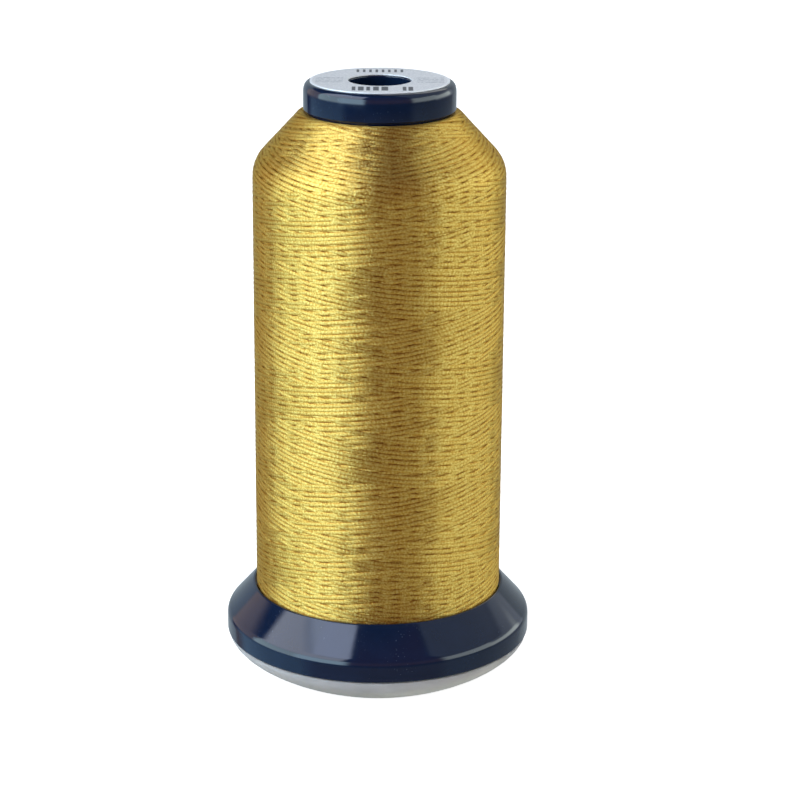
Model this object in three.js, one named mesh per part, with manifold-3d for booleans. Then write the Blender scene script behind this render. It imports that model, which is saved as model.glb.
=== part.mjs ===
// A king-size spool of machine embroidery thread with a snap base.
// Millimetres, +Z up, origin at the centre of the ring that the spool stands on.
//
// The spool comes apart into four pieces: a moulded core, the thread wound on it, a round
// paper label on the core's head, and a translucent base. The base's hub snaps into the
// core's barrel and slides a few millimetres, so that the end of the thread can be caught
// between the two rims.

import * as THREE from 'three';
import { mergeVertices } from 'three/addons/utils/BufferGeometryUtils.js';
import Module from 'manifold-3d';

const wasm = await Module();
wasm.setup();

// Fineness
const SEGMENTS = 72;
const CURVE_STEPS = 5;

// Overall sizes
const FLANGE_RADIUS = 31.25;
const BASE_HEIGHT = 7.6;
const THREAD_RADIUS = 25;
const HEAD_RADIUS = 15.05;
const HEAD_TOP = 121.8;
const PIN_HOLE_RADIUS = 6.1;
const SNAP_TRAVEL = 3;

// Clearances
const REST_GAP = 0.2;
const SLIDE_GAP = 0.3;

// Core: flange
const CORE_WALL = 1.8;
const RIM_CORNER = new THREE.Vector2(FLANGE_RADIUS, BASE_HEIGHT + 4.1);
const RIM_ROUNDING = 1;
const LIP_CORNER = new THREE.Vector2(25.8, BASE_HEIGHT + 10.2);
const LIP_ROUNDING = 0.2;
const LIP_INSIDE_RADIUS = THREAD_RADIUS + 0.35;
const SHELF_HEIGHT = BASE_HEIGHT + 9.2;

// Core: barrel and head
const BARREL_FOOT_RADIUS = 15.5;
const BARREL_NECK_RADIUS = 14;
const BORE_RADIUS = 12.4;
const HEAD_HEIGHT = 5.4;
const HEAD_PLATE = 2.4;
const HEAD_ROUNDING_DOWN = 2;
const HEAD_ROUNDING_IN = 1.3;

// Base: dish
const DISH_TOP = BASE_HEIGHT - REST_GAP;
const DISH_RADIUS = 31.05;
const DISH_BULGE = new THREE.Vector2(30.7, 4.2);
const STANDING_RADIUS = 21.5;
const STANDING_RING = 2;
const DISH_WALL = 1.4;
const FLOOR_UNDERSIDE = 1;
const SPIGOT_HEIGHT = 4;
const SPIGOT_CHAMFER = 0.8;

// Base: hub and snap fingers
const HUB_RADIUS = BORE_RADIUS - SLIDE_GAP;
const HUB_WALL = 1.6;
const HUB_TOP = 34;
const BEAD_HEIGHT = 0.7;
const BEAD_LENGTH = 2;
const BEAD_TOP = HUB_TOP - 1;
const SLIT_COUNT = 4;
const SLIT_WIDTH = 3.4;
const SLIT_BOTTOM = 10;

// Core: groove for the bead, and keys that stand in the slits and stop the base turning
const GROOVE_TOP = BEAD_TOP + SLIDE_GAP;
const GROOVE_BOTTOM = BEAD_TOP - BEAD_LENGTH - SNAP_TRAVEL - SLIDE_GAP;
const GROOVE_RADIUS = HUB_RADIUS + BEAD_HEIGHT + SLIDE_GAP;
const KEY_WIDTH = 2.4;
const KEY_DEPTH = 1.5;
const KEY_BOTTOM = BASE_HEIGHT + 11;
const KEY_TOP = KEY_BOTTOM + 8;

// Thread package
const PACKAGE_BOTTOM = SHELF_HEIGHT + REST_GAP;
const PACKAGE_TOP = HEAD_TOP - HEAD_HEIGHT - SLIDE_GAP;
const PACKAGE_TOP_RADIUS = 16;
const SHOULDER_BOTTOM = BASE_HEIGHT + 98.4;
const SHOULDER_ROUNDING = 3;
const FOOT_ROUNDING = 0.8;

// Label
const LABEL_RADIUS = HEAD_RADIUS - HEAD_ROUNDING_IN;
const LABEL_HOLE_RADIUS = 6.25;
const LABEL_THICKNESS = 0.2;
const LABEL_GAP = 0.05;

function material(colour, roughness, metalness) {
  return new THREE.MeshStandardMaterial({ color: colour, roughness, metalness });
}

const navyPlastic = material(0x16294a, 0.18, 0);
const goldThread = material(0xc9a63c, 0.42, 0.7);
const silverPaper = material(0xc9d3e0, 0.5, 0.2);
const milkyPlastic = material(0xdadada, 0.35, 0);

// Goes towards a corner and around it, to leave in the direction of the point after it.
// The curve starts and ends at the given distances from the corner.
function roundCorner(outline, before, corner, after, distance, distanceAfter = distance) {
  const start = before.clone().sub(corner).setLength(distance).add(corner);
  const end = after.clone().sub(corner).setLength(distanceAfter).add(corner);
  outline.lineTo(start.x, start.y);
  outline.quadraticCurveTo(corner.x, corner.y, end.x, end.y);
}

// Turns a closed outline of (radius, height) around the Z axis.
function revolve(outline) {
  outline.closePath();
  const geometry = new THREE.LatheGeometry(outline.getPoints(CURVE_STEPS), SEGMENTS);
  geometry.rotateX(Math.PI / 2);
  return geometry;
}

function solidFrom(geometry) {
  const bare = geometry.clone();
  bare.deleteAttribute('normal');
  bare.deleteAttribute('uv');
  const merged = mergeVertices(bare);
  const vertProperties = new Float32Array(merged.attributes.position.array);
  const triVerts = new Uint32Array(merged.index.array);
  return new wasm.Manifold(new wasm.Mesh({ numProp: 3, vertProperties, triVerts }));
}

function geometryFrom(solid) {
  const { vertProperties, triVerts } = solid.getMesh();
  const geometry = new THREE.BufferGeometry();
  geometry.setAttribute('position', new THREE.BufferAttribute(vertProperties, 3));
  geometry.setIndex(new THREE.BufferAttribute(triVerts, 1));
  geometry.computeVertexNormals();
  return geometry;
}

// A box that points outwards from the axis, between two radii and two heights.
function radialBox(innerRadius, outerRadius, width, bottom, top, angle) {
  const geometry = new THREE.BoxGeometry(outerRadius - innerRadius, width, top - bottom);
  geometry.translate((innerRadius + outerRadius) / 2, 0, (bottom + top) / 2);
  geometry.rotateZ(angle);
  return solidFrom(geometry);
}

function slitAngles() {
  return Array.from({ length: SLIT_COUNT }, (_, i) => (i * 2 * Math.PI) / SLIT_COUNT);
}

// The underside of the flange's cone follows its outside at the core's wall thickness.
function coneUnderside(radius) {
  const slope = (LIP_CORNER.y - RIM_CORNER.y) / (RIM_CORNER.x - LIP_CORNER.x);
  const outside = RIM_CORNER.y + slope * (RIM_CORNER.x - radius);
  return outside - CORE_WALL * Math.hypot(1, slope);
}

function coreOutline() {
  const shelfUnderside = SHELF_HEIGHT - CORE_WALL;
  const rimInside = FLANGE_RADIUS - CORE_WALL;
  const shelfInside = LIP_INSIDE_RADIUS - CORE_WALL / 2;
  const headBottom = HEAD_TOP - HEAD_HEIGHT;
  const rimFoot = new THREE.Vector2(FLANGE_RADIUS, BASE_HEIGHT);
  const lipInside = new THREE.Vector2(LIP_INSIDE_RADIUS, LIP_CORNER.y);
  const headFoot = new THREE.Vector2(HEAD_RADIUS, headBottom);
  const headCorner = new THREE.Vector2(HEAD_RADIUS, HEAD_TOP);
  const headHole = new THREE.Vector2(PIN_HOLE_RADIUS, HEAD_TOP);

  const outline = new THREE.Path();
  outline.moveTo(rimInside, BASE_HEIGHT);
  outline.lineTo(rimFoot.x, rimFoot.y);
  roundCorner(outline, rimFoot, RIM_CORNER, LIP_CORNER, RIM_ROUNDING);
  roundCorner(outline, RIM_CORNER, LIP_CORNER, lipInside, LIP_ROUNDING);
  outline.lineTo(lipInside.x, lipInside.y);
  outline.lineTo(LIP_INSIDE_RADIUS, SHELF_HEIGHT);
  outline.lineTo(BARREL_FOOT_RADIUS, SHELF_HEIGHT);
  outline.lineTo(BARREL_NECK_RADIUS, headBottom);
  outline.lineTo(headFoot.x, headFoot.y);
  roundCorner(outline, headFoot, headCorner, headHole, HEAD_ROUNDING_DOWN, HEAD_ROUNDING_IN);
  outline.lineTo(headHole.x, headHole.y);
  outline.lineTo(PIN_HOLE_RADIUS, HEAD_TOP - HEAD_PLATE);
  outline.lineTo(BORE_RADIUS, HEAD_TOP - HEAD_PLATE);
  outline.lineTo(BORE_RADIUS, GROOVE_TOP);
  outline.lineTo(GROOVE_RADIUS, GROOVE_TOP);
  outline.lineTo(GROOVE_RADIUS, GROOVE_BOTTOM);
  outline.lineTo(BORE_RADIUS, GROOVE_BOTTOM);
  outline.lineTo(BORE_RADIUS, shelfUnderside);
  outline.lineTo(shelfInside, shelfUnderside);
  outline.lineTo(rimInside, coneUnderside(rimInside));
  return outline;
}

function spoolCore() {
  let core = solidFrom(revolve(coreOutline()));
  for (const angle of slitAngles()) {
    const keyInside = BORE_RADIUS - KEY_DEPTH;
    const keyRoot = BORE_RADIUS + CORE_WALL / 2;
    core = core.add(radialBox(keyInside, keyRoot, KEY_WIDTH, KEY_BOTTOM, KEY_TOP, angle));
  }
  return geometryFrom(core);
}

// The hub, its bead and the spigot ring that stands up inside the flange's rim.
function baseOutline() {
  const hubInside = HUB_RADIUS - HUB_WALL;
  const floorTop = FLOOR_UNDERSIDE + DISH_WALL;
  const beadRadius = HUB_RADIUS + BEAD_HEIGHT;
  const beadMiddle = BEAD_TOP - BEAD_LENGTH / 2;
  const spigotOutside = FLANGE_RADIUS - CORE_WALL - SLIDE_GAP;
  const spigotInside = spigotOutside - DISH_WALL;
  const spigotTop = DISH_TOP + SPIGOT_HEIGHT;
  const ringInside = STANDING_RADIUS - STANDING_RING;
  const insideBulge = new THREE.Vector2(DISH_BULGE.x - 1.5 * DISH_WALL, DISH_BULGE.y + DISH_WALL / 2);

  const outline = new THREE.Path();
  outline.moveTo(PIN_HOLE_RADIUS, FLOOR_UNDERSIDE);
  outline.lineTo(ringInside - FLOOR_UNDERSIDE, FLOOR_UNDERSIDE);
  outline.lineTo(ringInside, 0);
  outline.lineTo(STANDING_RADIUS, 0);
  outline.quadraticCurveTo(DISH_BULGE.x, DISH_BULGE.y, DISH_RADIUS, DISH_TOP);
  outline.lineTo(spigotOutside, DISH_TOP);
  outline.lineTo(spigotOutside, spigotTop - SPIGOT_CHAMFER);
  outline.lineTo(spigotOutside - SPIGOT_CHAMFER, spigotTop);
  outline.lineTo(spigotInside, spigotTop);
  outline.lineTo(spigotInside, DISH_TOP);
  outline.quadraticCurveTo(insideBulge.x, insideBulge.y, STANDING_RADIUS, floorTop);
  outline.lineTo(HUB_RADIUS, floorTop);
  outline.lineTo(HUB_RADIUS, BEAD_TOP - BEAD_LENGTH);
  outline.lineTo(beadRadius, beadMiddle);
  outline.lineTo(HUB_RADIUS, BEAD_TOP);
  outline.lineTo(HUB_RADIUS, HUB_TOP);
  outline.lineTo(hubInside, HUB_TOP);
  outline.lineTo(hubInside, floorTop);
  outline.lineTo(PIN_HOLE_RADIUS, floorTop);
  return outline;
}

function snapBase() {
  let base = solidFrom(revolve(baseOutline()));
  const slitInside = HUB_RADIUS - 2 * HUB_WALL;
  const slitOutside = HUB_RADIUS + 2 * HUB_WALL;
  for (const angle of slitAngles()) {
    const slit = radialBox(slitInside, slitOutside, SLIT_WIDTH, SLIT_BOTTOM, HUB_TOP + 1, angle);
    base = base.subtract(slit);
  }
  return geometryFrom(base);
}

function threadPackage() {
  const footInside = new THREE.Vector2(BARREL_FOOT_RADIUS + SLIDE_GAP, PACKAGE_BOTTOM);
  const footCorner = new THREE.Vector2(THREAD_RADIUS, PACKAGE_BOTTOM);
  const shoulderCorner = new THREE.Vector2(THREAD_RADIUS, SHOULDER_BOTTOM);
  const topOutside = new THREE.Vector2(PACKAGE_TOP_RADIUS, PACKAGE_TOP);

  const outline = new THREE.Path();
  outline.moveTo(footInside.x, footInside.y);
  roundCorner(outline, footInside, footCorner, shoulderCorner, FOOT_ROUNDING);
  roundCorner(outline, footCorner, shoulderCorner, topOutside, SHOULDER_ROUNDING);
  outline.lineTo(topOutside.x, topOutside.y);
  outline.lineTo(BARREL_NECK_RADIUS + SLIDE_GAP, PACKAGE_TOP);
  return revolve(outline);
}

function topLabel() {
  const underside = HEAD_TOP + LABEL_GAP;
  const outline = new THREE.Path();
  outline.moveTo(LABEL_HOLE_RADIUS, underside);
  outline.lineTo(LABEL_RADIUS, underside);
  outline.lineTo(LABEL_RADIUS, underside + LABEL_THICKNESS);
  outline.lineTo(LABEL_HOLE_RADIUS, underside + LABEL_THICKNESS);
  return revolve(outline);
}

function part(name, geometry, surface) {
  const mesh = new THREE.Mesh(geometry, surface);
  mesh.name = name;
  return mesh;
}

const spool = new THREE.Group();
spool.add(part('spool_core', spoolCore(), navyPlastic));
spool.add(part('thread_package', threadPackage(), goldThread));
spool.add(part('top_label', topLabel(), silverPaper));

const threadSpool = new THREE.Group();
threadSpool.add(part('snap_base', snapBase(), milkyPlastic));
threadSpool.add(spool);

export default threadSpool;
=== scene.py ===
"""A king-size spool of metallic embroidery thread: the looks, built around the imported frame.

Every piece is placed and sized from the CAD nodes' boxes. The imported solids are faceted, so
the turned pieces are made again here as fine meshes with the same outlines.
"""

import math

import bpy
import numpy as np
from mathutils import Euler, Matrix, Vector


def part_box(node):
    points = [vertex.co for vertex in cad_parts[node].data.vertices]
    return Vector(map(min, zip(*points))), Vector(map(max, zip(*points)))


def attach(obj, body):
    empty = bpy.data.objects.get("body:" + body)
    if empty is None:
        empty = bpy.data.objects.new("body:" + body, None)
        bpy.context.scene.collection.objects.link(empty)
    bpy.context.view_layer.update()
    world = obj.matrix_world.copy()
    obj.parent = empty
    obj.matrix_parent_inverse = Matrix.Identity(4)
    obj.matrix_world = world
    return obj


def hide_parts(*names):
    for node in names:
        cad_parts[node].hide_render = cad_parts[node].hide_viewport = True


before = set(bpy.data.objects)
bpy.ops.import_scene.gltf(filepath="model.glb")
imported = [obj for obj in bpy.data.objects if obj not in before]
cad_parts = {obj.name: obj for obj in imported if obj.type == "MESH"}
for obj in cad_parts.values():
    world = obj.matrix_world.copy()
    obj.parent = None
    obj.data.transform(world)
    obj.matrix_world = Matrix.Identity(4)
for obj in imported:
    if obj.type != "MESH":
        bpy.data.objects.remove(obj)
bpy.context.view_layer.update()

MM = 0.001
TURN = 2 * math.pi
WHOLE = math.inf
SEED = 7

# The frame: the corners of the CAD nodes
_, base_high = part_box("snap_base")
core_low, core_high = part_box("spool_core")
package_low, package_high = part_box("thread_package")
label_low, label_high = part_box("top_label")

FLANGE_RADIUS = core_high.x
RIM_BOTTOM = core_low.z
HEAD_TOP = core_high.z
PACKAGE_RADIUS = package_high.x
PACKAGE_BOTTOM = package_low.z
PACKAGE_TOP = package_high.z
LABEL_RADIUS = label_high.x
DISH_RADIUS = base_high.x
HUB_TOP = base_high.z

# Core, as in the CAD
WALL = 1.8 * MM
RIM_CORNER_HEIGHT = RIM_BOTTOM + 4.1 * MM
RIM_ROUNDING = 1 * MM
RIM_EDGE = 0.25 * MM
LIP_RADIUS = 25.8 * MM
LIP_HEIGHT = RIM_BOTTOM + 10.2 * MM
LIP_ROUNDING = 0.2 * MM
LIP_INSIDE_RADIUS = PACKAGE_RADIUS + 0.35 * MM
SHELF_HEIGHT = RIM_BOTTOM + 9.2 * MM
BARREL_FOOT_RADIUS = 15.5 * MM
BARREL_NECK_RADIUS = 14 * MM
BORE_RADIUS = 12.4 * MM
HEAD_RADIUS = 15.05 * MM
HEAD_BOTTOM = HEAD_TOP - 5.4 * MM
HEAD_EDGE = 0.2 * MM
HEAD_ROUNDING_DOWN = 2 * MM
HEAD_ROUNDING_IN = 1.3 * MM
HEAD_PLATE = 2.4 * MM
PIN_HOLE_RADIUS = 6.1 * MM
PIN_HOLE_EDGE = 0.3 * MM
GROOVE_BOTTOM = 27.7 * MM
GROOVE_TOP = 33.3 * MM
GROOVE_RADIUS = 13.1 * MM
FINGER_COUNT = 4
KEY_WIDTH = 2.4 * MM
KEY_DEPTH = 1.5 * MM
KEY_BOTTOM = RIM_BOTTOM + 11 * MM
KEY_TOP = KEY_BOTTOM + 8 * MM
KEY_STEPS = 3

# Base, as in the CAD
DISH_TOP = RIM_BOTTOM - 0.2 * MM
DISH_BULGE_RADIUS = 30.7 * MM
DISH_BULGE_HEIGHT = 4.2 * MM
DISH_WALL = 1.4 * MM
STANDING_RADIUS = 21.5 * MM
STANDING_RING = 2 * MM
FLOOR_UNDERSIDE = 1 * MM
SPIGOT_RADIUS = 29.15 * MM
SPIGOT_HEIGHT = 4 * MM
SPIGOT_CHAMFER = 0.8 * MM
HUB_RADIUS = 12.1 * MM
HUB_WALL = 1.6 * MM
SLIT_BOTTOM = 10 * MM
SLIT_WIDTH = 3.4 * MM
BEAD_TOP = HUB_TOP - 1 * MM
BEAD_LENGTH = 2 * MM
BEAD_HEIGHT = 0.7 * MM

# Fineness of the turned meshes
LATHE_STEPS = 192
ROUND_STEPS = 8
SHARP_ANGLE = math.radians(28)
SAME_POINT = 0.001 * MM

# Winding: the thread runs up and down the spool in helices that cross
THREAD_WIDTH = 0.99 * MM
THREAD_HEIGHT = 0.18 * MM
THREAD_SIDES = 8
STEPS_PER_TURN = 160
ADVANCE = 21.5 * MM
STRANDS = 22
TURN_BACK = 1.8 * MM
SPACING_SPREAD = 0.16
WANDER = 0.18 * MM
WANDERS_PER_TURN = (9, 3)
BUMPS = 0.012 * MM
BUMPS_PER_TURN = 40
SWELL = 0.12 * MM
NECK_GAP = 0.25 * MM
SHOULDER_HEIGHT = RIM_BOTTOM + 98.4 * MM
SHOULDER_ROUNDING = 3 * MM
SHOULDER_TOP_RADIUS = 16 * MM
TOP_ROUNDING = 0.5 * MM
FOOT_ROUNDING = 0.8 * MM
PATH_STEP = 0.1 * MM
FILL_DEPTH = 0.11 * MM
FILL_BARREL_GAP = 0.25 * MM

# Crossings: which thread lies over the other goes by a regular weave, by large patches, each
# with its waves per turn of the thread and round the spool, and by chance
MEETINGS = 2 * STRANDS
CROSSING_RISE = 0.055 * MM
CROSSING_EASE = 3
WEAVE_SHARE = 0.3
PATCH_SHARE = 0.7
PATCH_WAVES = ((1.2, 1), (0.7, -2))

# What most of a noise texture's values lie between
NOISE_RANGE = (0.3, 0.7)

# Gold: the tone is a sum of shares; its crest share is painted shade, so that it goes from brown in the
# grooves to yellow on the crests
GLITTER_SIZE = 0.3 * MM
GLITTER_SHARE = 0.6
GLITTER_RELIEF = 0.04 * MM
CREST_SHADE_SHARE = 0.28
PATCH_SIZE = 3.5 * MM
PATCH_TONE_SHARE = 0.05
WRAP_LENGTH = 0.8 * MM
WRAP_SHARE = 0.02
WRAP_RELIEF = 0.006 * MM
# The crest value given to the fill, which sets its painted shade between the turns
FILL_SHADE_CREST = 0.7
GOLD_TONES = ((0.37, (0.32, 0.130, 0.016)), (0.53, (0.58, 0.350, 0.066)), (0.68, (0.80, 0.655, 0.200)))
GOLD_EDGE_TINT = (1.0, 0.78, 0.45, 1)
GOLD_ROUGHNESS = (0.41, 0.51)

# Navy plastic
NAVY_TONES = ((0.35, (0.0030, 0.0100, 0.030)), (0.65, (0.0040, 0.0125, 0.036)))
NAVY_CLOUD_SIZE = 6 * MM
NAVY_ROUGHNESS = (0.05, 0.11)
RUBBING_SIZE = 1.2 * MM
ORANGE_PEEL_SIZE = 1.5 * MM
ORANGE_PEEL_RELIEF = 0.004 * MM
DUST = (0.10, 0.13, 0.17)
DUST_SIZE = 0.35 * MM
DUST_RANGE = (0.71, 0.76)
DUST_OPACITY = 0.5
DUST_PATCH_SIZE = 9 * MM
DUST_PATCH_RANGE = (0.5, 0.6)

# Milky plastic
MILKY_TONES = ((0.3, (0.59, 0.55, 0.54)), (0.7, (0.68, 0.63, 0.62)))
MILKY_CLOUD_SIZE = 5 * MM
MILKY_ROUGHNESS = (0.3, 0.42)
MILKY_GRAIN_SIZE = 0.8 * MM
MILKY_RELIEF = 0.006 * MM
MILKY_DEPTH = 3 * MM
MILKY_SCATTER = (1.0, 0.9, 0.8)

# Label: plain bars stand in for its print; the front bars' ends are in millimetres
LABEL_HOLE_RADIUS = 6.25 * MM
LABEL_EDGE = 0.06 * MM
SILVER_TONES = ((0.35, (0.60, 0.61, 0.63)), (0.65, (0.86, 0.86, 0.87)))
SILVER_GRAIN_SIZE = 0.35 * MM
SILVER_ROUGHNESS = (0.35, 0.5)
SILVER_RELIEF = 0.01 * MM
LABEL_BORDER = 0.5 * MM
HOLE_BORDER = 0.2 * MM
PRINT_EDGE = 0.1 * MM
FRONT_BARS = ((-5.4, -4.7), (-4.2, -3.1), (-2.6, -1.9), (-1.3, -0.2), (0.3, 1.6), (4.4, 5.1), (5.5, 6.4))
FRONT_ROW = (-11.1 * MM, -7.1 * MM)
BACK_ROW = (8.4 * MM, 11.4 * MM)
BACK_ROW_HALF_LENGTH = 4.8 * MM
BACK_BAR_SPACING = 1.25 * MM
BACK_BAR_SHARE = 0.4
SIDE_ROWS = (7.2 * MM, 12.6 * MM)
SIDE_ROWS_HALF_WIDTH = 3 * MM
SIDE_ROW_SPACING = 1.5 * MM
SIDE_ROW_SHARE = 0.45
SIDE_ROW_OPACITY = 0.5
BREAK_SIZE = 0.5 * MM
BREAK_LEVEL = 0.46
BREAK_EDGE = 0.05
WHITE_BORDER = (0.86, 0.87, 0.89)
INK = (0.07, 0.075, 0.09)
FAINT_INK = (0.12, 0.15, 0.20)

# Sockets of a mix node set to colours, which share their names with others
MIX_MASK = "Factor"
MIX_UNDER = 6
MIX_OVER = 7
MIX_RESULT = 2

# Camera
CAMERA_DISTANCE = 486.3 * MM
CAMERA_HEIGHT = RIM_BOTTOM + 204.1 * MM
CAMERA_PITCH = math.radians(17.71)
CAMERA_PAN = math.radians(0.512)
CAMERA_ROLL = math.radians(0.38)
CAMERA_LENS = 112.95
CAMERA_REACH = 50

# Studio floor, which reaches this many metres each way
FLOOR_REACH = 6.0
FLOOR_DROP = 0.02 * MM
FLOOR_GREY = (0.5, 0.5, 0.5, 1)
FLOOR_GLOW = 0.9
WHITE = (1.0, 1.0, 1.0)

# The studio, as patches of a dome, each painted over the ones before it: azimuth from the
# camera's side (negative to the camera's left) and elevation in degrees, the softness of the
# patch's edges in degrees, and its radiance. The directions were worked out from reflections in
# the photograph, and the radiances follow a least-squares fit to its colours. All were rounded
# and merged, and the radiances of most patches were then changed one by one
DOME_FILL = (0.045, 0.025, 0.02)
DOME_PATCHES = (
    # what the pale floor sends back, from below and from farther out
    {"azimuth": (-200, 0), "elevation": (-100, -35), "softness": 8, "radiance": (0.50, 0.50, 0.36)},
    {"azimuth": (0, 200), "elevation": (-100, -35), "softness": 8, "radiance": (1.00, 1.05, 0.85)},
    {"azimuth": (-200, 200), "elevation": (-35, -14), "softness": 8, "radiance": (0.24, 0.20, 0.16)},
    {"azimuth": (-126, -56), "elevation": (-35, -8), "softness": 16, "radiance": (0.40, 0.61, 0.80)},
    {"azimuth": (50, 146), "elevation": (-35, -8), "softness": 16, "radiance": (0.32, 0.37, 0.42)},
    # dim warm walls in front and at the left
    {"azimuth": (-23, 50), "elevation": (-2, 25), "softness": 8, "radiance": (0.32, 0.15, 0.10)},
    {"azimuth": (-23, 50), "elevation": (25, 60), "softness": 8, "radiance": (0.16, 0.05, 0.03)},
    {"azimuth": (-141, -104), "elevation": (-6, 25), "softness": 8, "radiance": (0.85, 0.66, 0.54)},
    # the large soft box at the left
    {"azimuth": (-104, -56), "elevation": (-6, 25), "softness": 6, "radiance": (2.7, 3.5, 3.7)},
    {"azimuth": (-64, -23), "elevation": (-6, 25), "softness": 8, "radiance": (3.35, 4.65, 5.5)},
    {"azimuth": (-104, -28), "elevation": (25, 48), "softness": 6, "radiance": (3.4, 3.6, 4.1)},
    {"azimuth": (-106, -56), "elevation": (48, 64), "softness": 6, "radiance": (3.6, 4.1, 5.1)},
    {"azimuth": (-64, -28), "elevation": (48, 64), "softness": 6, "radiance": (3.7, 4.2, 5.5)},
    # the weaker one at the right
    {"azimuth": (92, 141), "elevation": (-6, 26), "softness": 6, "radiance": (0.76, 0.84, 0.95)},
    {"azimuth": (50, 96), "elevation": (-2, 26), "softness": 8, "radiance": (2.6, 2.9, 2.85)},
    {"azimuth": (92, 130), "elevation": (-2, 15), "softness": 8, "radiance": (3.0, 3.3, 3.2)},
    {"azimuth": (52, 141), "elevation": (26, 75), "softness": 6, "radiance": (0.46, 0.49, 0.54)},
    # the backdrop, and a lamp above it
    {"azimuth": (-219, -139), "elevation": (-40, 27), "softness": 4, "radiance": (0.42, 0.50, 0.54)},
    {"azimuth": (139, 219), "elevation": (-40, 27), "softness": 4, "radiance": (0.42, 0.48, 0.52)},
    {"azimuth": (141, 180), "elevation": (27, 52), "softness": 6, "radiance": (1.6, 1.6, 1.5)},
)


# ---------------------------------------------------------------- outlines and turned pieces

def bend(start, control, end):
    """Points along a quadratic curve, both ends included."""
    points = []
    for i in range(ROUND_STEPS + 1):
        t = i / ROUND_STEPS
        points.append(start * (1 - t) ** 2 + control * 2 * t * (1 - t) + end * t ** 2)
    return points


def cut_towards(corner, neighbour, distance):
    """The point that far from a corner towards its neighbour, at most the neighbour itself."""
    way = neighbour - corner
    return corner + way.normalized() * min(distance, way.length)


def outline(*corners):
    """Points of a closed outline of (radius, height) corners, outer side going up.

    A corner is (radius, height), (radius, height, cut) for a round that begins at that distance
    from the corner, or (radius, height, cut before, cut after)."""
    points = []
    for i, corner in enumerate(corners):
        here = Vector(corner[:2])
        if len(corner) == 2:
            points.append(here)
            continue
        before = Vector(corners[i - 1][:2])
        after = Vector(corners[(i + 1) % len(corners)][:2])
        start = cut_towards(here, before, corner[2])
        end = cut_towards(here, after, corner[-1])
        points += bend(start, here, end)
    return [p for p, q in zip(points, points[1:] + points[:1]) if (p - q).length > SAME_POINT]


def linked(name, data):
    """A new object of the scene."""
    thing = bpy.data.objects.new(name, data)
    bpy.context.scene.collection.objects.link(thing)
    return thing


def mesh_object(name, vertices, faces):
    """A new mesh object, shaded smooth except at its sharp corners."""
    mesh = bpy.data.meshes.new(name)
    mesh.from_pydata(vertices, [], faces)
    mesh.update()
    mesh.shade_smooth()
    mesh.set_sharp_from_angle(angle=SHARP_ANGLE)
    return linked(name, mesh)


def turned(points, steps=LATHE_STEPS, start=0.0, sweep=TURN):
    """Vertices and faces of a closed outline turned about Z, all the way round or as a sector."""
    whole = sweep >= TURN
    rings = steps if whole else steps + 1
    size = len(points)
    vertices = []
    for i in range(rings):
        angle = start + sweep * i / steps
        vertices += [(p.x * math.cos(angle), p.x * math.sin(angle), p.y) for p in points]
    faces = []
    for i in range(steps):
        near = i * size
        far = ((i + 1) % rings) * size
        for j in range(size):
            k = (j + 1) % size
            faces.append((near + j, far + j, far + k, near + k))
    if not whole:
        faces.append(tuple(range(size)))
        faces.append(tuple(reversed(range(steps * size, (steps + 1) * size))))
    return vertices, faces


def sectors(points, gap_width, radius, steps):
    """The outline turned in equal sectors, with gaps of that width between them."""
    gap = gap_width / radius
    sweep = TURN / FINGER_COUNT - gap
    return [turned(points, steps, i * TURN / FINGER_COUNT + gap / 2, sweep)
            for i in range(FINGER_COUNT)]


def joined(name, shells):
    """One mesh object from several lists of vertices and faces."""
    vertices, faces = [], []
    for shell_vertices, shell_faces in shells:
        offset = len(vertices)
        vertices += shell_vertices
        faces += [tuple(offset + index for index in face) for face in shell_faces]
    return mesh_object(name, vertices, faces)


# ---------------------------------------------------------------- the turned pieces

def core_outline():
    """The moulded core: flange, shelf, barrel and head, with the groove for the base's bead."""
    shelf_underside = SHELF_HEIGHT - WALL
    rim_inside = FLANGE_RADIUS - WALL
    slope = (LIP_HEIGHT - RIM_CORNER_HEIGHT) / (FLANGE_RADIUS - LIP_RADIUS)
    rim_ceiling = RIM_CORNER_HEIGHT + slope * WALL - WALL * math.hypot(1, slope)
    return outline(
        (rim_inside, RIM_BOTTOM),
        (FLANGE_RADIUS, RIM_BOTTOM, RIM_EDGE),
        (FLANGE_RADIUS, RIM_CORNER_HEIGHT, RIM_ROUNDING),
        (LIP_RADIUS, LIP_HEIGHT, LIP_ROUNDING),
        (LIP_INSIDE_RADIUS, LIP_HEIGHT, LIP_ROUNDING),
        (LIP_INSIDE_RADIUS, SHELF_HEIGHT),
        (BARREL_FOOT_RADIUS, SHELF_HEIGHT),
        (BARREL_NECK_RADIUS, HEAD_BOTTOM),
        (HEAD_RADIUS, HEAD_BOTTOM, HEAD_EDGE),
        (HEAD_RADIUS, HEAD_TOP, HEAD_ROUNDING_DOWN, HEAD_ROUNDING_IN),
        (PIN_HOLE_RADIUS, HEAD_TOP, PIN_HOLE_EDGE),
        (PIN_HOLE_RADIUS, HEAD_TOP - HEAD_PLATE),
        (BORE_RADIUS, HEAD_TOP - HEAD_PLATE),
        (BORE_RADIUS, GROOVE_TOP),
        (GROOVE_RADIUS, GROOVE_TOP),
        (GROOVE_RADIUS, GROOVE_BOTTOM),
        (BORE_RADIUS, GROOVE_BOTTOM),
        (BORE_RADIUS, shelf_underside),
        (LIP_INSIDE_RADIUS - WALL / 2, shelf_underside),
        (rim_inside, rim_ceiling),
    )


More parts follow.
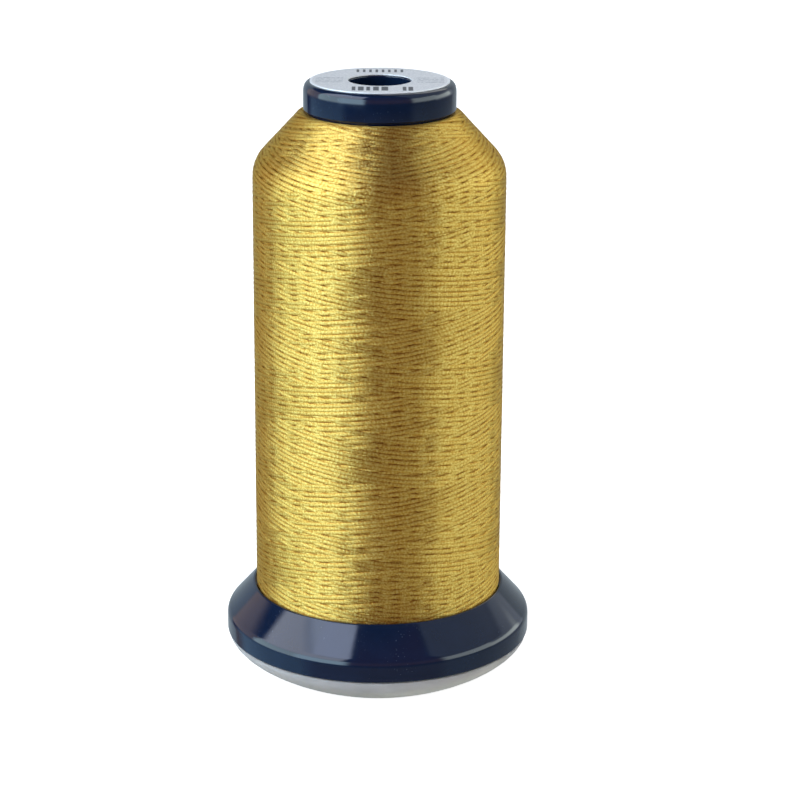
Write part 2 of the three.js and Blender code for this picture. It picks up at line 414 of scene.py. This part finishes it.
def make_core():
    """The core, with its keys standing out from the bore."""
    key_outline = outline(
        (BORE_RADIUS - KEY_DEPTH, KEY_BOTTOM),
        (BORE_RADIUS + WALL / 4, KEY_BOTTOM),
        (BORE_RADIUS + WALL / 4, KEY_TOP),
        (BORE_RADIUS - KEY_DEPTH, KEY_TOP),
    )
    sweep = KEY_WIDTH / BORE_RADIUS
    keys = [turned(key_outline, KEY_STEPS, i * TURN / FINGER_COUNT - sweep / 2, sweep)
            for i in range(FINGER_COUNT)]
    return joined("moulded_core", [turned(core_outline())] + keys)


def dish_outline():
    """The base's dish, with its standing ring below and its spigot ring above."""
    ring_inside = STANDING_RADIUS - STANDING_RING
    floor_top = FLOOR_UNDERSIDE + DISH_WALL
    spigot_inside = SPIGOT_RADIUS - DISH_WALL
    spigot_top = DISH_TOP + SPIGOT_HEIGHT
    return outline(
        (PIN_HOLE_RADIUS, FLOOR_UNDERSIDE, PIN_HOLE_EDGE),
        (ring_inside - FLOOR_UNDERSIDE, FLOOR_UNDERSIDE),
        (ring_inside, 0),
        (STANDING_RADIUS, 0),
        (DISH_BULGE_RADIUS, DISH_BULGE_HEIGHT, WHOLE),
        (DISH_RADIUS, DISH_TOP),
        (SPIGOT_RADIUS, DISH_TOP),
        (SPIGOT_RADIUS, spigot_top - SPIGOT_CHAMFER),
        (SPIGOT_RADIUS - SPIGOT_CHAMFER, spigot_top),
        (spigot_inside, spigot_top),
        (spigot_inside, DISH_TOP),
        (DISH_BULGE_RADIUS - 1.5 * DISH_WALL, DISH_BULGE_HEIGHT + DISH_WALL / 2, WHOLE),
        (STANDING_RADIUS, floor_top),
        (PIN_HOLE_RADIUS, floor_top, PIN_HOLE_EDGE),
    )


def make_base():
    """The base: the dish, the hub's sleeve on its floor, and the snap fingers with their bead."""
    floor_middle = FLOOR_UNDERSIDE + DISH_WALL / 2
    hub_inside = HUB_RADIUS - HUB_WALL
    finger_bottom = SLIT_BOTTOM - HUB_WALL / 4
    sleeve = outline(
        (hub_inside, floor_middle),
        (HUB_RADIUS, floor_middle),
        (HUB_RADIUS, SLIT_BOTTOM),
        (hub_inside, SLIT_BOTTOM),
    )
    finger = outline(
        (hub_inside, finger_bottom),
        (HUB_RADIUS, finger_bottom),
        (HUB_RADIUS, BEAD_TOP - BEAD_LENGTH),
        (HUB_RADIUS + BEAD_HEIGHT, BEAD_TOP - BEAD_LENGTH / 2, BEAD_HEIGHT / 3),
        (HUB_RADIUS, BEAD_TOP),
        (HUB_RADIUS, HUB_TOP),
        (hub_inside, HUB_TOP),
    )
    fingers = sectors(finger, SLIT_WIDTH, HUB_RADIUS, LATHE_STEPS // FINGER_COUNT)
    return joined("base_dish", [turned(dish_outline()), turned(sleeve)] + fingers)


def make_label():
    """The round label with its hole."""
    return joined("printed_label", [turned(outline(
        (LABEL_HOLE_RADIUS, label_low.z),
        (LABEL_RADIUS, label_low.z),
        (LABEL_RADIUS, label_high.z, LABEL_EDGE),
        (LABEL_HOLE_RADIUS, label_high.z, LABEL_EDGE),
    ))])


# ---------------------------------------------------------------- the winding

def winding_corners(depth):
    """The winding's outside, from its foot to its top, at a depth below the package's surface."""
    return (
        (PACKAGE_RADIUS + SWELL - depth, PACKAGE_BOTTOM + depth, FOOT_ROUNDING),
        (PACKAGE_RADIUS + SWELL - depth, SHOULDER_HEIGHT - depth / 2, SHOULDER_ROUNDING),
        (SHOULDER_TOP_RADIUS - depth / 2, PACKAGE_TOP - NECK_GAP - depth, TOP_ROUNDING),
    )


def mark(mesh, name, vectors):
    """Give each point of a mesh a vector that its material can read."""
    attribute = mesh.attributes.new(name, "FLOAT_VECTOR", "POINT")
    attribute.data.foreach_set("vector", vectors.astype(np.float32).ravel())


def make_fill():
    """The inside of the winding, which shows only between the turns."""
    fill = joined("winding_fill", [turned(outline(
        (BARREL_FOOT_RADIUS + FILL_BARREL_GAP, PACKAGE_BOTTOM + FILL_DEPTH),
        *winding_corners(FILL_DEPTH),
        (BARREL_NECK_RADIUS + FILL_BARREL_GAP, PACKAGE_TOP - NECK_GAP - FILL_DEPTH),
    ))])
    run = np.array([(-point.co.y, point.co.x, 0) for point in fill.data.vertices])
    mark(fill.data, "run", run / np.linalg.norm(run, axis=1, keepdims=True))
    # The fill's one crest value sets how much painted shade the gold gives it
    mark(fill.data, "lay", np.tile((FILL_SHADE_CREST, 0.0, 0.0), (len(run), 1)))
    return fill


def winding_path():
    """Radius, height and outward normal of a strand's centre line, against the distance along
    the outside of the winding."""
    depth = THREAD_HEIGHT / 2
    points = outline(
        (PACKAGE_RADIUS - 2 * FOOT_ROUNDING, PACKAGE_BOTTOM + depth),
        *winding_corners(depth),
        (BARREL_NECK_RADIUS + THREAD_WIDTH, PACKAGE_TOP - NECK_GAP - depth),
        (BARREL_NECK_RADIUS, PACKAGE_TOP - NECK_GAP - depth),
    )[:-1]
    radius = np.array([p.x for p in points])
    height = np.array([p.y for p in points])
    distance = np.concatenate([[0], np.cumsum(np.hypot(np.diff(radius), np.diff(height)))])
    fine = np.arange(0, distance[-1], PATH_STEP)
    radius = np.interp(fine, distance, radius)
    height = np.interp(fine, distance, height)
    return fine, radius, height, np.gradient(height, fine), -np.gradient(radius, fine)


def slow_noise(rng, length, spacing):
    """Smooth random values in -1..1 for each step along a strand."""
    knots = rng.uniform(-1, 1, int(length / spacing) + 3)
    at = np.arange(length) / spacing
    low = at.astype(int)
    t = at - low
    t = t * t * (3 - 2 * t)
    return knots[low] * (1 - t) + knots[low + 1] * t


def lying_over(rng):
    """For each upward and downward strand, and each time the two meet, whether the upward
    one lies over the other (1) or under it (-1)."""
    up, down, meeting = np.indices((STRANDS, STRANDS, MEETINGS))
    turns = (meeting - (up + down) / STRANDS) / 2
    angle = TURN * (turns + up / STRANDS)
    weave = np.where((up + down) % 2 == 0, 1, -1)
    patches = sum(np.sin(TURN * turns * climbing + around * angle) for climbing, around in PATCH_WAVES)
    chance = rng.uniform(-1, 1, weave.shape)
    return np.sign(WEAVE_SHARE * weave + PATCH_SHARE * patches + chance)


def level_ends(travel, whole):
    """The thread's places along the winding, from 0 to the whole of it. The thread runs level
    at both ends, where it turns back."""
    speed = np.tanh(travel / TURN_BACK) * np.tanh((travel[-1] - travel) / TURN_BACK)
    return whole * np.cumsum(speed) / speed.sum()


def crossing_rise(direction, index, turns, shift, upward_over):
    """How far a strand is lifted over the strands that it crosses, or pressed under them.
    Upward strand i and downward strand j meet where 2 * turns + (i + j) / STRANDS is whole."""
    crossed = np.round((-2 * turns - shift) % 1 * STRANDS).astype(int) % STRANDS
    meeting = np.round(2 * turns + (index + crossed) / STRANDS).astype(int)
    pair = (index, crossed) if direction > 0 else (crossed, index)
    over = direction * upward_over[(*pair, meeting)]
    eased = np.convolve(over, np.ones(CROSSING_EASE) / CROSSING_EASE, "same")
    return CROSSING_RISE / 2 * eased


def tube(path, place, angle, lift, section):
    """Rings of points round a strand's centre line, one ring for each place along the path."""
    along, radius, height, normal_r, normal_z = path
    up = lift[:, None] + THREAD_HEIGHT / 2 * np.cos(section)
    side = THREAD_WIDTH / 2 * np.sin(section)
    out_r = np.interp(place, along, normal_r)[:, None]
    out_z = np.interp(place, along, normal_z)[:, None]
    r = np.interp(place, along, radius)[:, None] + up * out_r - side * out_z
    z = np.interp(place, along, height)[:, None] + up * out_z + side * out_r
    return np.stack([r * np.cos(angle), r * np.sin(angle), z], axis=-1)


def strand(path, direction, index, upward_over, rng):
    """One traverse of the thread: rings of points round its centre line, and at each point
    the thread's direction, the place round the thread and the distance along it in mm."""
    whole = path[0][-1]
    travel = whole + 2 * math.log(2) * TURN_BACK
    turns = np.arange(0, travel / ADVANCE, 1 / STEPS_PER_TURN)
    shift = (index + SPACING_SPREAD * rng.uniform(-1, 1)) / STRANDS
    angle = (direction * TURN * (turns + shift))[:, None]
    wander = sum(slow_noise(rng, len(turns), STEPS_PER_TURN / count) for count in WANDERS_PER_TURN)
    place = level_ends(ADVANCE * turns, whole) + WANDER / 2 * wander
    bumps = BUMPS * slow_noise(rng, len(turns), STEPS_PER_TURN / BUMPS_PER_TURN)
    lift = crossing_rise(direction, index, turns, shift, upward_over) + bumps
    section = TURN * np.arange(THREAD_SIDES) / THREAD_SIDES
    points = tube(path, place, angle, lift, section)

    run = np.gradient(points.mean(axis=1), axis=0)
    run /= np.linalg.norm(run, axis=1, keepdims=True)
    run = np.repeat(run, THREAD_SIDES, axis=0)
    length = (turns[:, None] + rng.uniform()) * TURN * PACKAGE_RADIUS / MM
    # cos(section) is the crest, which the gold material turns into painted shade in the grooves
    lay = np.stack(np.broadcast_arrays(np.cos(section), np.sin(section), length), axis=-1)
    return points.reshape(-1, 3), run, lay.reshape(-1, 3)


def tube_faces(rings, first, direction):
    """The faces of a closed tube whose points start at that index."""
    ring = np.arange(rings - 1)[:, None] * THREAD_SIDES
    side = np.arange(THREAD_SIDES)[None, :]
    after = (side + 1) % THREAD_SIDES
    corners = [ring + side, ring + after, ring + after + THREAD_SIDES, ring + side + THREAD_SIDES]
    quads = np.stack(corners, axis=-1).reshape(-1, 4)
    start = np.arange(THREAD_SIDES)[::-1]
    end = np.arange(THREAD_SIDES) + (rings - 1) * THREAD_SIDES
    if direction > 0:
        quads, start, end = quads[:, ::-1], start[::-1], end[::-1]
    return (quads + first).tolist() + [(start + first).tolist(), (end + first).tolist()]


def wound_piece(name, direction, indexes, upward_over, rng):
    """Several traverses in one direction as one mesh."""
    path = winding_path()
    points, runs, lays, faces = [], [], [], []
    first = 0
    for index in indexes:
        strand_points, run, lay = strand(path, direction, index, upward_over, rng)
        faces += tube_faces(len(strand_points) // THREAD_SIDES, first, direction)
        first += len(strand_points)
        points.append(strand_points)
        runs.append(run)
        lays.append(lay)
    mesh = bpy.data.meshes.new(name)
    mesh.from_pydata(np.concatenate(points).tolist(), [], faces)
    mesh.shade_smooth()
    mark(mesh, "run", np.concatenate(runs))
    mark(mesh, "lay", np.concatenate(lays))
    return linked(name, mesh)


def make_windings():
    """All the strands, in two pieces that run up and two that run down."""
    rng = np.random.default_rng(SEED)
    upward_over = lying_over(rng)
    halves = (range(STRANDS // 2), range(STRANDS // 2, STRANDS))
    return [wound_piece(f"thread_{way}_{number}", direction, half, upward_over, rng)
            for way, direction in (("up", 1), ("down", -1))
            for number, half in enumerate(halves, start=1)]


# ---------------------------------------------------------------- materials

class Nodes:
    """A node tree, and short ways to add nodes to it."""

    def __init__(self, tree):
        self.tree = tree

    def node(self, kind, inputs=(), **settings):
        """A new node, its inputs linked to sockets or set to values."""
        node = self.tree.nodes.new(kind)
        for key, value in settings.items():
            setattr(node, key, value)
        for key, value in dict(inputs).items():
            if isinstance(value, bpy.types.NodeSocket):
                self.tree.links.new(value, node.inputs[key])
            else:
                node.inputs[key].default_value = value
        return node

    def maths(self, operation, *values):
        """One operation on sockets and numbers."""
        return self.node("ShaderNodeMath", dict(enumerate(values)), operation=operation).outputs[0]

    def total(self, result, *others):
        """The sum of sockets and numbers."""
        for other in others:
            result = self.maths("ADD", result, other)
        return result

    def product(self, result, *others):
        """The product of sockets and numbers."""
        for other in others:
            result = self.maths("MULTIPLY", result, other)
        return result

    def parts(self, vector):
        """The three components of a vector."""
        return self.node("ShaderNodeSeparateXYZ", {"Vector": vector}).outputs

    def spread(self, value, low, high, start=0.0, end=1.0, **settings):
        """A value from start..end carried to low..high."""
        inputs = {"Value": value, "From Min": start, "From Max": end, "To Min": low, "To Max": high}
        return self.node("ShaderNodeMapRange", inputs, **settings).outputs["Result"]

    def between(self, value, low, high, edge):
        """1 where a value lies between low and high, with soft edges that wide."""
        smooth = {"interpolation_type": "SMOOTHSTEP"}
        above = self.spread(value, 0.0, 1.0, low - edge / 2, low + edge / 2, **smooth)
        beyond = self.spread(value, 0.0, 1.0, high - edge / 2, high + edge / 2, **smooth)
        return self.maths("SUBTRACT", above, beyond)

    def painted(self, under, mask, colour):
        """One colour, with another over it where the mask is 1."""
        inputs = {MIX_MASK: mask, MIX_UNDER: under, MIX_OVER: (*colour, 1)}
        return self.node("ShaderNodeMix", inputs, data_type="RGBA").outputs[MIX_RESULT]


class Surface(Nodes):
    """A material with one Principled shader."""

    def __init__(self, name, **sockets):
        self.material = bpy.data.materials.new(name)
        self.material.use_nodes = True
        super().__init__(self.material.node_tree)
        self.shader = self.tree.nodes["Principled BSDF"]
        self.place = self.node("ShaderNodeTexCoord").outputs["Object"]
        for socket, value in sockets.items():
            self.shader.inputs[socket.replace("_", " ")].default_value = value

    def noise(self, size, detail=2.0, roughness=0.5):
        """Noise in 0..1 whose features are about that size."""
        inputs = {"Vector": self.place, "Scale": 1 / size, "Detail": detail, "Roughness": roughness}
        return self.node("ShaderNodeTexNoise", inputs).outputs["Fac"]

    def vector(self, name):
        """A vector that the mesh has at each of its points."""
        return self.node("ShaderNodeAttribute", attribute_name=name).outputs["Vector"]

    def ramp(self, value, *stops):
        """A colour ramp of (position, colour) stops."""
        node = self.node("ShaderNodeValToRGB", {"Fac": value})
        elements = node.color_ramp.elements
        while len(elements) < len(stops):
            elements.new(1.0)
        for element, (position, colour) in zip(elements, stops):
            element.position = position
            element.color = (*colour, 1)
        return node.outputs["Color"]

    def feed(self, socket, value):
        """Link a socket to an input of the shader."""
        self.tree.links.new(value, self.shader.inputs[socket])

    def rough(self, noise, low, high):
        """Feed the roughness with a noise that is carried to low..high."""
        self.feed("Roughness", self.spread(noise, low, high, *NOISE_RANGE))

    def bump(self, height, distance, under=None):
        """The normal of a surface with that relief, on top of another relief if one is given."""
        inputs = {"Height": height, "Distance": distance}
        if under:
            inputs["Normal"] = under
        return self.node("ShaderNodeBump", inputs).outputs["Normal"]


def gold_thread():
    """Metallised film wrapped round a core: it glitters in fine grains, and painted shade darkens it
    between the turns.
    """
    gold = Surface("metallised_thread", Metallic=0.9, Anisotropic=0.85, Anisotropic_Rotation=0.25,
                   Specular_Tint=GOLD_EDGE_TINT)
    gold.feed("Tangent", gold.vector("run"))
    crest, around_sine, length = gold.parts(gold.vector("lay"))
    wrap = gold.product(length, TURN / WRAP_LENGTH * MM)
    slant = gold.total(gold.product(gold.maths("SINE", wrap), crest),
                       gold.product(gold.maths("COSINE", wrap), around_sine))
    glitter = gold.noise(GLITTER_SIZE, detail=3.0, roughness=0.65)
    # The crest share is painted shade: the tone drops down the sides of each thread, towards the grooves
    # between turns
    tone = gold.total(gold.product(glitter, GLITTER_SHARE),
                      gold.product(crest, CREST_SHADE_SHARE),
                      gold.product(gold.noise(PATCH_SIZE), PATCH_TONE_SHARE),
                      gold.product(slant, WRAP_SHARE))
    gold.feed("Base Color", gold.ramp(tone, *GOLD_TONES))
    gold.rough(glitter, *GOLD_ROUGHNESS)
    gold.feed("Normal", gold.bump(glitter, GLITTER_RELIEF, under=gold.bump(slant, WRAP_RELIEF)))
    return gold.material


def navy_plastic():
    """Glossy moulded plastic with a faint orange peel, rubbed patches and specks of dust."""
    navy = Surface("navy_plastic", IOR=1.5)
    colour = navy.ramp(navy.noise(NAVY_CLOUD_SIZE, detail=3.0), *NAVY_TONES)
    specks = navy.spread(navy.noise(DUST_SIZE, detail=1.0), 0.0, DUST_OPACITY, *DUST_RANGE)
    dusty = navy.spread(navy.noise(DUST_PATCH_SIZE, detail=1.0), 0.0, 1.0, *DUST_PATCH_RANGE)
    navy.feed("Base Color", navy.painted(colour, navy.product(specks, dusty), DUST))
    navy.rough(navy.noise(RUBBING_SIZE, detail=4.0), *NAVY_ROUGHNESS)
    navy.feed("Normal", navy.bump(navy.noise(ORANGE_PEEL_SIZE), ORANGE_PEEL_RELIEF))
    return navy.material


def milky_plastic():
    """Unpigmented plastic that light passes into."""
    milky = Surface("milky_plastic", IOR=1.49, Transmission_Weight=0.25, Subsurface_Weight=0.6,
                    Subsurface_Scale=MILKY_DEPTH, Subsurface_Radius=MILKY_SCATTER)
    milky.feed("Base Color", milky.ramp(milky.noise(MILKY_CLOUD_SIZE, detail=3.0), *MILKY_TONES))
    milky.rough(milky.noise(MILKY_GRAIN_SIZE, detail=3.0), *MILKY_ROUGHNESS)
    milky.feed("Normal", milky.bump(milky.noise(MILKY_GRAIN_SIZE), MILKY_RELIEF))
    return milky.material


def repeated(label, value, spacing, share):
    """A mask that is 1 over that share of every spacing."""
    place = label.maths("FRACT", label.maths("DIVIDE", value, spacing))
    return label.between(place, 0.5 - share / 2, 0.5 + share / 2, PRINT_EDGE / spacing)


def border_mask(label, x, y):
    """The label's borders, at its edge and round its hole."""
    squares = label.total(label.maths("POWER", x, 2.0), label.maths("POWER", y, 2.0))
    radius = label.maths("SQRT", squares)
    printed = (LABEL_HOLE_RADIUS + HOLE_BORDER, LABEL_RADIUS - LABEL_BORDER)
    return label.maths("SUBTRACT", 1.0, label.between(radius, *printed, PRINT_EDGE))


def side_rows(label, x, y):
    """Thin, faint and broken rows at both sides of the hole."""
    return label.product(
        repeated(label, y, SIDE_ROW_SPACING, SIDE_ROW_SHARE),
        label.between(label.noise(BREAK_SIZE, detail=1.0), BREAK_LEVEL, 1.0, BREAK_EDGE),
        label.between(y, -SIDE_ROWS_HALF_WIDTH, SIDE_ROWS_HALF_WIDTH, PRINT_EDGE),
        label.between(label.maths("ABSOLUTE", x), *SIDE_ROWS, PRINT_EDGE),
        SIDE_ROW_OPACITY,
    )


def back_row(label, x, y):
    """Even bars behind the hole."""
    return label.product(
        repeated(label, x, BACK_BAR_SPACING, BACK_BAR_SHARE),
        label.between(y, *BACK_ROW, PRINT_EDGE),
        label.between(x, -BACK_ROW_HALF_LENGTH, BACK_ROW_HALF_LENGTH, PRINT_EDGE),
    )


def front_row(label, x, y):
    """Uneven bars in front of the hole."""
    bars = [label.between(x, start * MM, end * MM, PRINT_EDGE) for start, end in FRONT_BARS]
    return label.product(label.total(*bars), label.between(y, *FRONT_ROW, PRINT_EDGE))


def silver_label():
    """Metallised paper with white borders and rows of plain bars for its print."""
    label = Surface("silver_label", Metallic=0.35)
    x, y, _ = label.parts(label.place)
    grain = label.noise(SILVER_GRAIN_SIZE, detail=4.0, roughness=0.7)
    colour = label.ramp(grain, *SILVER_TONES)
    colour = label.painted(colour, border_mask(label, x, y), WHITE_BORDER)
    colour = label.painted(colour, side_rows(label, x, y), FAINT_INK)
    bars = label.total(front_row(label, x, y), back_row(label, x, y))
    label.feed("Base Color", label.painted(colour, bars, INK))
    label.rough(grain, *SILVER_ROUGHNESS)
    label.feed("Normal", label.bump(grain, SILVER_RELIEF))
    return label.material


def white_floor():
    """A pale floor that the camera sees as the white of the studio."""
    floor = Surface("studio_floor", Base_Color=FLOOR_GREY, Roughness=0.9, Specular_IOR_Level=0.0,
                    Emission_Color=(*WHITE, 1))
    camera_ray = floor.node("ShaderNodeLightPath").outputs["Is Camera Ray"]
    floor.feed("Emission Strength", floor.product(camera_ray, FLOOR_GLOW))
    return floor.material


# ---------------------------------------------------------------- studio

def make_floor():
    """A wide square just under the spool."""
    vertices = [(-FLOOR_REACH, -FLOOR_REACH, 0), (FLOOR_REACH, -FLOOR_REACH, 0),
                (FLOOR_REACH, FLOOR_REACH, 0), (-FLOOR_REACH, FLOOR_REACH, 0)]
    floor = mesh_object("studio_floor", vertices, [(0, 1, 2, 3)])
    floor.location.z = -FLOOR_DROP
    floor.data.materials.append(white_floor())
    floor.visible_glossy = False


def studio_dome():
    """A dim studio with soft lights at its sides and a white backdrop behind the spool.
    The camera itself sees plain white."""
    world = bpy.data.worlds.new("studio")
    bpy.context.scene.world = world
    world.use_nodes = True
    world.node_tree.nodes.clear()
    dome = Nodes(world.node_tree)

    x, y, z = dome.parts(dome.node("ShaderNodeTexCoord").outputs["Generated"])
    azimuth = dome.maths("DEGREES", dome.maths("ARCTAN2", x, dome.product(y, -1.0)))
    elevation = dome.maths("DEGREES", dome.maths("ARCSINE", z))

    colour = (*DOME_FILL, 1)
    for patch in DOME_PATCHES:
        mask = dome.product(dome.between(azimuth, *patch["azimuth"], patch["softness"]),
                            dome.between(elevation, *patch["elevation"], patch["softness"]))
        colour = dome.painted(colour, mask, patch["radiance"])
    camera_ray = dome.node("ShaderNodeLightPath").outputs["Is Camera Ray"]
    colour = dome.painted(colour, camera_ray, WHITE)
    background = dome.node("ShaderNodeBackground", {"Color": colour})
    dome.node("ShaderNodeOutputWorld", {"Surface": background.outputs[0]})


def make_camera():
    """The camera of the photograph: above the spool, and turned and rolled a little."""
    camera = bpy.data.cameras.new("camera")
    camera.lens = CAMERA_LENS
    camera.clip_end = CAMERA_REACH
    holder = linked("camera", camera)
    holder.location = (0, -CAMERA_DISTANCE, CAMERA_HEIGHT)
    holder.rotation_mode = "XYZ"
    look = Euler((math.pi / 2 - CAMERA_PITCH, 0, -CAMERA_PAN)).to_matrix()
    roll = Euler((0, 0, CAMERA_ROLL)).to_matrix()
    holder.rotation_euler = (look @ roll).to_euler()
    bpy.context.scene.camera = holder


# ---------------------------------------------------------------- assembly

def finish_piece(piece, body, node, material):
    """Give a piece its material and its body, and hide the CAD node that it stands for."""
    piece.data.materials.append(material)
    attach(piece, body)
    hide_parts(node)


make_camera()
make_floor()
studio_dome()
bpy.context.scene.view_settings.view_transform = "Standard"

gold = gold_thread()
finish_piece(make_core(), "spool", "spool_core", navy_plastic())
finish_piece(make_base(), "base", "snap_base", milky_plastic())
finish_piece(make_label(), "spool", "top_label", silver_label())
for piece in [make_fill(), *make_windings()]:
    finish_piece(piece, "spool", "thread_package", gold)
